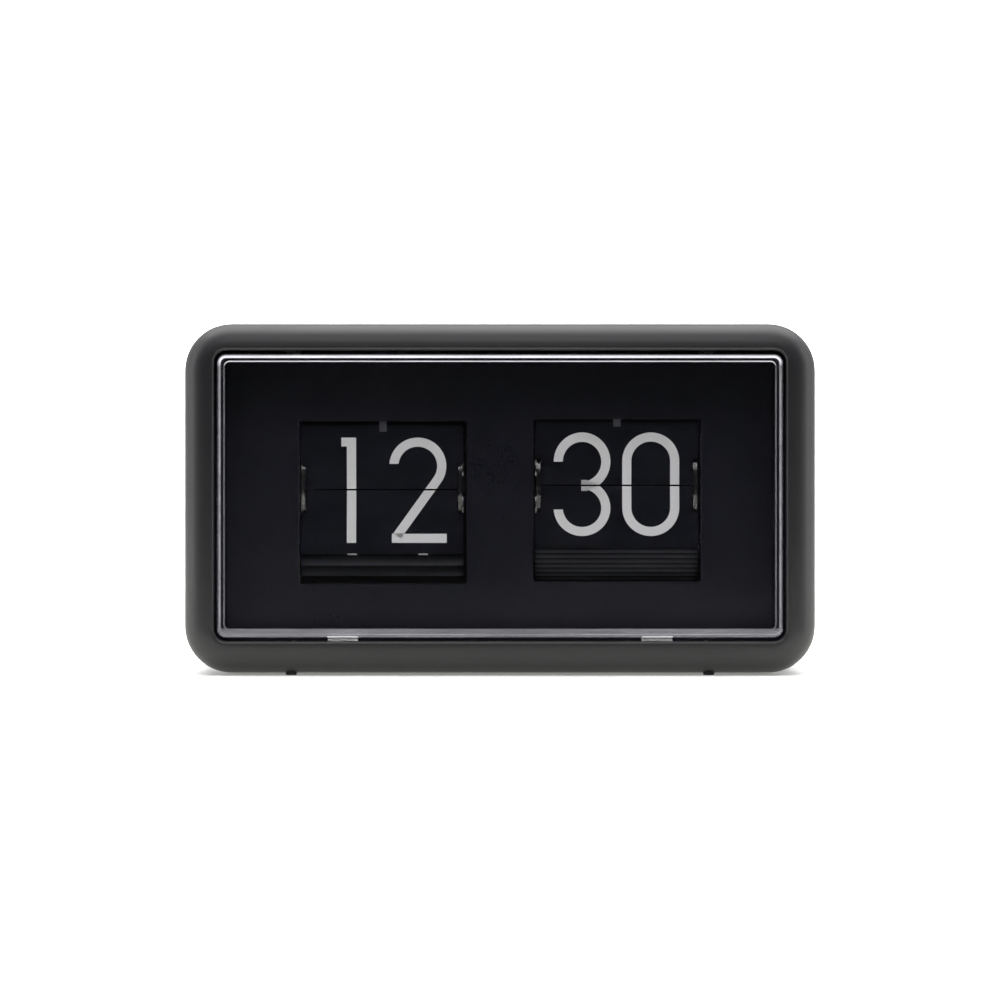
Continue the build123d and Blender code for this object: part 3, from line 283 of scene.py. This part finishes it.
def clear_plastic():
    """The clear window: gloss over the dark inside, with shadow rays let through so the light gets in, and a painted
    highlight (white diffuse plus emission glow) on its rim and wall.
    """
    n = Nodes("clear_window_plastic")
    n.set("Base Color", (0.985, 0.985, 0.99))
    n.set("Transmission Weight", 1.0)
    n.set("IOR", 1.49)
    smear = n.noise(28, 5, 0.65)
    n.set("Roughness", n.spread(smear, 0.0, 0.035, 0.45, 0.8))
    ripple = n.noise(9, 1, 0.4)
    n.set("Normal", n.bump(ripple, 0.00008, 0.35))
    # painted highlight on the rim and wall: a white diffuse shade plus an emission glow, mixed in by the rim mask
    rim_highlight_white = n.add("ShaderNodeBsdfDiffuse")
    rim_highlight_white.inputs["Color"].default_value = (0.93, 0.92, 0.98, 1.0)
    rim_glow = n.add("ShaderNodeEmission")
    rim_glow.inputs["Color"].default_value = (0.96, 0.95, 1.0, 1.0)
    rim_glow.inputs["Strength"].default_value = RIM_GLOW_STRENGTH
    lit = n.add("ShaderNodeAddShader")
    n.link(rim_highlight_white.outputs["BSDF"], lit.inputs[0])
    n.link(rim_glow.outputs["Emission"], lit.inputs[1])
    edged = n.add("ShaderNodeMixShader")
    n.link(painted_rim_highlight(n), edged.inputs["Fac"])
    n.link(n.shader.outputs["BSDF"], edged.inputs[1])
    n.link(lit.outputs["Shader"], edged.inputs[2])
    path = n.add("ShaderNodeLightPath")
    through = n.add("ShaderNodeBsdfTransparent")
    through.inputs["Color"].default_value = (0.93, 0.93, 0.94, 1.0)
    blend = n.add("ShaderNodeMixShader")
    n.link(path.outputs["Is Shadow Ray"], blend.inputs["Fac"])
    n.link(edged.outputs["Shader"], blend.inputs[1])
    n.link(through.outputs["BSDF"], blend.inputs[2])
    n.link(blend.outputs["Shader"], n.tree.nodes["Material Output"].inputs["Surface"])
    return n.material


def painted_leaf_end_shading(n, first, pitch, length):
    """Mask for painted shade on the fallen leaves below the front one: painted shadow under each end, painted light
    increasing down to the next.
    """
    split = n.add("ShaderNodeSeparateXYZ")
    n.link(n.place, split.inputs["Vector"])
    above_axis = n.math("ADD", split.outputs["Z"], (length - AXIS[1]) * MM)
    ear_angle = n.math("ARCSINE", n.math("DIVIDE", above_axis, PIVOT_R * MM))
    count = n.math("DIVIDE", n.math("SUBTRACT", radians(first), ear_angle), radians(pitch))
    fallen = n.math("GREATER_THAN", count, 1.0)
    return fallen, n.spread(n.math("FRACT", count), 0.0, 1.0, 0.14, 0.85)


def leaf_film(name, first, pitch, length):
    """Thin black film with a satin face, faint roller streaks and small bright scuffs, with painted shadow and painted
    light on the fallen leaves' ends.
    """
    n = Nodes(name)
    streaks = n.noise(260, 3, 0.6, n.stretched((0.25, 1.0, 1.6)))
    black = n.colours(streaks, [(0.3, (0.0048, 0.0052, 0.0100)), (0.75, (0.0072, 0.0078, 0.0140))])
    # painted shadow under each fallen leaf's end and painted light down to the next end, mixed by the step mask
    painted_crevice_shade = n.colours(streaks, [(0.3, (0.0008, 0.0008, 0.0012)), (0.75, (0.0012, 0.0012, 0.0018))])
    painted_end_highlight = n.colours(streaks, [(0.3, (0.034, 0.035, 0.044)), (0.75, (0.046, 0.047, 0.058))])
    fallen, step = painted_leaf_end_shading(n, first, pitch, length)
    n.set("Base Color", n.mix(fallen, black, n.mix(step, painted_crevice_shade, painted_end_highlight)))
    n.set("Roughness", n.spread(streaks, 0.28, 0.38))
    dust = n.noise(900, 1, 0.3)
    n.set("Normal", n.bump(dust, 0.00001, 0.3, n.bump(n.noise(30, 1), 0.0001, 0.4)))
    n.set("Specular IOR Level", 0.25)
    return n.material


def print_ink():
    """White screen print, slightly thin in places."""
    n = Nodes("white_print")
    thin = n.noise(700, 3, 0.7)
    cloud = n.noise(90, 3, 0.5)
    white = n.colours(cloud, [(0.3, (0.80, 0.80, 0.82)), (0.7, (0.88, 0.88, 0.90))])
    pit = n.colours(thin, [(0.0, (0.74, 0.74, 0.77)), (1.0, (0.90, 0.90, 0.91))])
    n.set("Base Color", n.mix(n.spread(thin, 0.0, 0.5), white, pit))
    n.set("Roughness", n.spread(cloud, 0.5, 0.62))
    n.set("Normal", n.bump(thin, 0.00001, 0.4))
    return n.material


def cell_wrap():
    """Battery wrap: dark body, coppery shoulder band at the top, bare metal ends."""
    n = Nodes("cell_wrap")
    low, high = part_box("battery_cell")
    split = n.add("ShaderNodeSeparateXYZ")
    n.link(n.place, split.inputs["Vector"])
    height = n.spread(split.outputs["Z"], 0.0, 1.0, low.z, high.z)
    bands = n.colours(height, [
        (0.0, (0.6, 0.6, 0.6)),
        (0.012, (0.02, 0.02, 0.022)),
        (0.70, (0.02, 0.02, 0.022)),
        (0.702, (0.5, 0.2, 0.07)),
        (0.972, (0.5, 0.2, 0.07)),
        (0.978, (0.62, 0.62, 0.62)),
    ])
    n.set("Base Color", bands)
    n.set("Metallic", 0.55)
    n.set("Roughness", n.spread(n.noise(120, 4), 0.25, 0.42))
    n.set("Normal", n.bump(n.noise(500, 2), 0.00002, 0.3))
    return n.material


CASE = moulded_plastic(
    "case_plastic", (0.0085, 0.0085, 0.0108), (0.0115, 0.0113, 0.0138), (0.40, 0.47), 2600, 0.00003, 0.25, 0.50
)
COVER = moulded_plastic(
    "cover_plastic", (0.024, 0.023, 0.022), (0.031, 0.0295, 0.028), (0.52, 0.66), 1900, 0.00006, 0.35, 0.5
)
BLACK_PLATE = moulded_plastic(
    "faceplate_plastic", (0.0085, 0.0085, 0.0145), (0.0115, 0.0112, 0.0185), (0.28, 0.38), 3000, 0.00001, 0.0, 0.30
)
DISC = moulded_plastic("disc_plastic", (0.012, 0.012, 0.014), (0.02, 0.02, 0.023), (0.14, 0.24), 2600, 0.00001, 0.3, 0.7)
ACETAL = moulded_plastic("gear_acetal", (0.045, 0.045, 0.05), (0.06, 0.06, 0.066), (0.35, 0.48), 2200, 0.00002)
GREY = moulded_plastic("movement_plastic", (0.05, 0.05, 0.053), (0.075, 0.075, 0.078), (0.45, 0.58), 1800, 0.00005, 0.3)
RUBBER = moulded_plastic("foot_rubber", (0.012, 0.012, 0.012), (0.022, 0.021, 0.020), (0.75, 0.9), 1500, 0.00008)
WIRE = moulded_plastic("wire_insulation", (0.30, 0.012, 0.010), (0.42, 0.02, 0.015), (0.35, 0.5), 1500, 0.00002)
BOARD = moulded_plastic("board_laminate", (0.010, 0.085, 0.035), (0.018, 0.12, 0.05), (0.3, 0.42), 1400, 0.00003)
STEEL = metal("plated_steel", (0.62, 0.62, 0.62), (0.26, 0.42), (1.0, 1.0, 0.06))
SCREW = metal("screw_steel", (0.55, 0.55, 0.56), (0.28, 0.45), (1.0, 0.1, 1.0), 0.5, 0.75)
SPRING_STRIP = metal("blackened_strip", (0.14, 0.145, 0.17), (0.35, 0.5), (0.1, 1.0, 1.0), 0.5)
NICKEL = metal("nickel_contact", (0.72, 0.69, 0.64), (0.14, 0.3), (1.0, 0.2, 1.0), 0.3)
CAN = metal("motor_can", (0.50, 0.50, 0.51), (0.3, 0.45), (1.0, 1.0, 0.2))
CLEAR = clear_plastic()
HOUR_FILM = leaf_film("hour_leaf_film", HOUR_FIRST, HOUR_PITCH, HOUR_LENGTH)
MINUTE_FILM = leaf_film("minute_leaf_film", MINUTE_FIRST, MINUTE_PITCH, MINUTE_LENGTH)
INK = print_ink()
CELL = cell_wrap()

BY_SLOT = {
    "case_plastic": CASE,
    "cover_plastic": COVER,
    "clear_plastic": CLEAR,
    "faceplate_plastic": BLACK_PLATE,
    "leaf_film": HOUR_FILM,
    "gear_plastic": ACETAL,
    "disc_plastic": DISC,
    "steel": STEEL,
    "screw_steel": SCREW,
    "spring_steel": SPRING_STRIP,
    "contact_metal": NICKEL,
    "rubber": RUBBER,
    "movement_plastic": GREY,
    "motor_metal": CAN,
    "board": BOARD,
    "cell_wrap": CELL,
    "wire": WIRE,
}
for part in frame["record"]["subparts"]:
    mesh = NODES[part["node"]].data
    mesh.materials.clear()
    finish = BY_SLOT[part["material_slot"]]
    if finish is HOUR_FILM and part["node"].startswith("minute"):
        finish = MINUTE_FILM
    mesh.materials.append(finish)


# ---------- printed numbers ----------
# Numbers are drawn in millimetres on the face of their leaf, x to the right and z up in the
# clock's frame, then put on the leaf's own plane.
LEAF_HALF_T = 0.075
INK_LIFT = 0.03
DIGIT_STROKE = 2.66
DIGIT_RADIUS = 8.32
DIGIT_STEP = 4.0


def arc_strip(x, z, outer, stroke, start, end, tall=1.0):
    """Quads along an arc. Angles in degrees, counted anticlockwise from +x; tall stretches it upright."""
    count = max(2, int(abs(end - start) / DIGIT_STEP))
    inner = outer - stroke
    quads = []
    for k in range(count):
        a = radians(start + (end - start) * k / count)
        b = radians(start + (end - start) * (k + 1) / count)
        quads.append([
            (x + inner * cos(a), z + tall * inner * sin(a)),
            (x + outer * cos(a), z + tall * outer * sin(a)),
            (x + outer * cos(b), z + tall * outer * sin(b)),
            (x + inner * cos(b), z + tall * inner * sin(b)),
        ])
    return quads


def rectangle(x0, x1, z0, z1):
    return [[(x0, z0), (x1, z0), (x1, z1), (x0, z1)]]


def clipped(polygons, limit, upper):
    """What is left of polygons above or below a height."""
    kept = []
    for polygon in polygons:
        out = []
        for i, (x0, z0) in enumerate(polygon):
            x1, z1 = polygon[(i + 1) % len(polygon)]
            in0 = z0 >= limit if upper else z0 <= limit
            in1 = z1 >= limit if upper else z1 <= limit
            if in0:
                out.append((x0, z0))
            if in0 != in1:
                t = (limit - z0) / (z1 - z0)
                out.append((x0 + t * (x1 - x0), limit))
        if len(out) > 2:
            kept.append(out)
    return kept


def digit_one(x, low, high, flag=1.6, stroke=2.7):
    """x is the stem's left edge."""
    return rectangle(x, x + stroke, low, high) + rectangle(x - flag, x, high - 2.6, high)


def digit_two(x, low, high):
    """x is the middle of the bowl."""
    r = DIGIT_RADIUS
    middle_r = r - DIGIT_STROKE / 2
    z = high - r
    lean = 35.6
    quads = clipped(arc_strip(x, z, r, DIGIT_STROKE, 180, 90), z + 0.65, True)
    quads += arc_strip(x, z, r, DIGIT_STROKE, 90, -lean)
    half = DIGIT_STROKE / 2
    normal = (cos(radians(lean)), -sin(radians(lean)))
    start = (x + middle_r * normal[0], z + middle_r * normal[1])
    along = (-sin(radians(lean)), -cos(radians(lean)))
    length = (start[1] - (low + DIGIT_STROKE * 0.75)) / -along[1]
    end = (start[0] + along[0] * length, start[1] + along[1] * length)
    quads.append([
        (start[0] - normal[0] * half, start[1] - normal[1] * half),
        (start[0] + normal[0] * half, start[1] + normal[1] * half),
        (end[0] + normal[0] * half, end[1] + normal[1] * half),
        (end[0] - normal[0] * half, end[1] - normal[1] * half),
    ])
    left = x - 7.55
    quads.append([
        (left, low + DIGIT_STROKE),
        (end[0] - normal[0] * half, end[1] - normal[1] * half),
        (end[0] + normal[0] * half, end[1] + normal[1] * half),
        (end[0] + normal[0] * half, low + DIGIT_STROKE),
    ])
    return quads + rectangle(left, x + 8.45, low, low + DIGIT_STROKE)


def digit_three(x, low, high, split):
    """Two bowls that meet in a short arm, half above and half below the split line."""
    r = DIGIT_RADIUS - 0.05
    arm = 1.6
    upper_tall = (high - split + arm) / (2 * r)
    lower_tall = (split + arm - low) / (2 * r)
    upper_z = high - r * upper_tall
    lower_z = low + r * lower_tall
    quads = arc_strip(x, upper_z, r, DIGIT_STROKE, 180, -90, upper_tall)
    quads += clipped(arc_strip(x, lower_z, r, DIGIT_STROKE, -180, -90, lower_tall), lower_z - 0.45, False)
    quads += arc_strip(x, lower_z, r, DIGIT_STROKE, -90, 90, lower_tall)
    return quads + rectangle(x - 0.2, x + 1.5, split - arm, split + arm)


def digit_zero(x, low, high):
    r = DIGIT_RADIUS
    quads = arc_strip(x, high - r, r, DIGIT_STROKE, 180, 0)
    quads += arc_strip(x, low + r, r, DIGIT_STROKE, 0, -180)
    quads += rectangle(x - r, x - r + DIGIT_STROKE, low + r, high - r)
    return quads + rectangle(x + r - DIGIT_STROKE, x + r, low + r, high - r)


def print_on_leaf(name, polygons, drawn_from, pivot, lie, back, body):
    """Puts drawn polygons on a leaf. drawn_from is the height of the pivot they were drawn for."""
    d = (-cos(radians(lie)), sin(radians(lie)))
    normal = (-d[1], d[0])
    if back:
        normal = (d[1], -d[0])
    lift = LEAF_HALF_T + INK_LIFT
    mesh = bpy.data.meshes.new(name)
    points = []
    faces = []
    for polygon in polygons:
        face = []
        for x, z in polygon:
            v = drawn_from - z if back else z - drawn_from
            y_at = pivot[0] + d[0] * v + normal[0] * lift
            z_at = pivot[1] + d[1] * v + normal[1] * lift
            face.append(len(points))
            points.append((x * MM, y_at * MM, z_at * MM))
        faces.append(face)
    mesh.from_pydata(points, [], faces)
    mesh.validate()
    wanted = Vector((0, normal[0], normal[1]))
    for polygon in mesh.polygons:
        if polygon.normal.dot(wanted) < 0:
            polygon.flip()
    mesh.materials.append(INK)
    mesh.update()
    thing = bpy.data.objects.new(name, mesh)
    bpy.context.scene.collection.objects.link(thing)
    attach(thing, body)
    return thing


def pivot_at(angle):
    return (AXIS[0] - PIVOT_R * cos(radians(angle)), AXIS[1] + PIVOT_R * sin(radians(angle)))


def numbers(drum, split, first, pitch, fan, now, following, behind):
    """Prints the shown number's halves, the next number's halves and what shows of the one before."""
    upper = pivot_at(first)
    lower = pivot_at(first - pitch)
    gap = 0.25
    top = clipped(now, split + gap, True)
    bottom = clipped(now, split - gap, False)
    next_top = clipped(following, split + gap, True)
    next_bottom = clipped(following, split - gap, False)
    flap = drum + "_flap"
    print_on_leaf(drum + "_print_upper", top, upper[1], upper, first + fan, False, flap)
    print_on_leaf(drum + "_print_next_lower", next_bottom, lower[1], upper, first + fan, True, flap)
    print_on_leaf(
        drum + "_print_next_upper", next_top, upper[1], pivot_at(first + pitch), first + pitch + fan, False, "case"
    )
    print_on_leaf(drum + "_print_lower", bottom, lower[1], lower, LOWER_LIE, True, "case")
    old = clipped(behind, split - gap, False)
    print_on_leaf(
        drum + "_print_before_lower", old, lower[1], pivot_at(first - 2 * pitch), BEHIND_LIE, True, "case"
    )


HOUR_LOW, HOUR_HIGH, HOUR_SPLIT = 37.75, 68.55, 53.32
MINUTE_LOW, MINUTE_HIGH, MINUTE_SPLIT = 39.75, 70.05, 54.57
TWELVE = digit_one(-44.7, HOUR_LOW, HOUR_HIGH) + digit_two(-24.0, HOUR_LOW, HOUR_HIGH)
THIRTEEN = digit_one(-44.7, HOUR_LOW, HOUR_HIGH) + digit_three(-24.0, HOUR_LOW, HOUR_HIGH, HOUR_SPLIT)
ELEVEN = digit_one(-44.6, HOUR_LOW, HOUR_HIGH) + digit_one(-23.8, HOUR_LOW, HOUR_HIGH)
THIRTY = digit_three(23.95, MINUTE_LOW, MINUTE_HIGH, MINUTE_SPLIT) + digit_zero(44.0, MINUTE_LOW, MINUTE_HIGH)
THIRTY_ONE = digit_three(23.95, MINUTE_LOW, MINUTE_HIGH, MINUTE_SPLIT) + digit_one(42.6, MINUTE_LOW, MINUTE_HIGH)
TWENTY_NINE = digit_two(23.95, MINUTE_LOW, MINUTE_HIGH) + digit_zero(44.0, MINUTE_LOW, MINUTE_HIGH)
numbers("hour", HOUR_SPLIT, HOUR_FIRST, HOUR_PITCH, HOUR_FAN, TWELVE, THIRTEEN, ELEVEN)
numbers("minute", MINUTE_SPLIT, MINUTE_FIRST, MINUTE_PITCH, MINUTE_FAN, THIRTY, THIRTY_ONE, TWENTY_NINE)


# ---------- surroundings ----------
def plain_material(name, colour, rough, glow=0.0):
    n = Nodes(name)
    n.set("Base Color", n.colours(n.noise(3, 2), [(0.3, colour), (0.7, tuple(0.985 * c for c in colour))]))
    n.set("Roughness", rough)
    n.set("Specular IOR Level", 0.3)
    n.set("Emission Color", colour)
    n.set("Emission Strength", glow)
    return n.material


def sweep_floor():
    """A pale floor that curves up into a wall behind."""
    half = 3.0
    bend = 0.6
    back = 2.2
    profile = [(-3.0, 0.0), (back - bend, 0.0)]
    for k in range(1, 13):
        a = pi / 2 * k / 12
        profile.append((back - bend + bend * sin(a), bend - bend * cos(a)))
    profile.append((back, 3.2))
    points = []
    faces = []
    for y, z in profile:
        points += [(-half, y, z), (half, y, z)]
    for k in range(len(profile) - 1):
        faces.append((2 * k, 2 * k + 1, 2 * k + 3, 2 * k + 2))
    mesh = bpy.data.meshes.new("floor")
    mesh.from_pydata(points, [], faces)
    mesh.materials.append(plain_material("floor_white", (0.93, 0.93, 0.93), 0.6, 0.15))
    for polygon in mesh.polygons:
        polygon.use_smooth = True
    thing = bpy.data.objects.new("floor", mesh)
    bpy.context.scene.collection.objects.link(thing)
    thing.visible_glossy = False
    thing.visible_transmission = False


def near_floor():
    """The floor close to the clock again, for what its glossy faces mirror."""
    points = [(-0.45, -0.16, 0.0002), (0.45, -0.16, 0.0002), (0.45, 0.5, 0.0002), (-0.45, 0.5, 0.0002)]
    mesh = bpy.data.meshes.new("near_floor")
    mesh.from_pydata(points, [], [(0, 1, 2, 3)])
    mesh.materials.append(plain_material("near_floor_white", (0.93, 0.92, 0.86), 0.6, 0.50))
    thing = bpy.data.objects.new("near_floor", mesh)
    bpy.context.scene.collection.objects.link(thing)
    thing.visible_camera = False
    thing.visible_diffuse = False
    thing.visible_shadow = False


def soft_light(name, place, target, size, watts, size_y=None, spread=180.0):
    data = bpy.data.lights.new(name, "AREA")
    data.shape = "RECTANGLE"
    data.size = size
    data.size_y = size_y or size
    data.energy = watts
    data.spread = radians(spread)
    thing = bpy.data.objects.new(name, data)
    thing.location = place
    look = Vector(target) - Vector(place)
    thing.rotation_euler = look.to_track_quat("-Z", "Y").to_euler()
    bpy.context.scene.collection.objects.link(thing)
    return thing


def surroundings():
    world = bpy.data.worlds.new("studio")
    world.use_nodes = True
    tree = world.node_tree
    place = tree.nodes.new("ShaderNodeTexCoord")
    split = tree.nodes.new("ShaderNodeSeparateXYZ")
    tree.links.new(place.outputs["Generated"], split.inputs["Vector"])
    rise = tree.nodes.new("ShaderNodeMapRange")
    rise.interpolation_type = "SMOOTHSTEP"
    rise.inputs["From Min"].default_value = -0.55
    rise.inputs["From Max"].default_value = 0.15
    rise.inputs["To Min"].default_value = 0.012
    rise.inputs["To Max"].default_value = 1.0
    tree.links.new(split.outputs["Y"], rise.inputs["Value"])
    background = tree.nodes["Background"]
    background.inputs["Color"].default_value = (1.0, 1.0, 1.0, 1.0)
    tree.links.new(rise.outputs["Result"], background.inputs["Strength"])
    bpy.context.scene.world = world
    clock = (0.0, -0.03, 0.05)
    soft_light("overhead", (0.0, 0.10, 0.90), clock, 1.5, 11.0, 0.7)
    soft_light("front_high", (0.0, -0.85, 0.95), clock, 1.0, 4.2, 0.30)
    soft_light("left_side", (-1.1, -0.10, 0.35), clock, 0.5, 3.0, 0.9)
    soft_light("right_side", (1.1, -0.10, 0.35), clock, 0.5, 3.0, 0.9)
    soft_light("wall_wash", (0.0, 0.9, 1.3), (0.0, 2.2, 0.2), 2.4, 90.0, 0.5)


def camera():
    front_y = CAD_LOW.y
    distance = 0.915
    view_width = 0.2856
    height = 0.0503
    data = bpy.data.cameras.new("camera")
    data.sensor_width = 36.0
    data.lens = 36.0 * distance / view_width
    data.clip_start = 0.01
    thing = bpy.data.objects.new("camera", data)
    thing.location = (0.0, front_y - distance, height)
    thing.rotation_euler = (radians(90), 0, 0)
    bpy.context.scene.collection.objects.link(thing)
    bpy.context.scene.camera = thing


sweep_floor()
near_floor()
surroundings()
camera()
scene = bpy.context.scene
scene.view_settings.view_transform = "Standard"
scene.view_settings.look = "None"
scene.cycles.max_bounces = 12
scene.cycles.transmission_bounces = 12
scene.cycles.transparent_max_bounces = 12
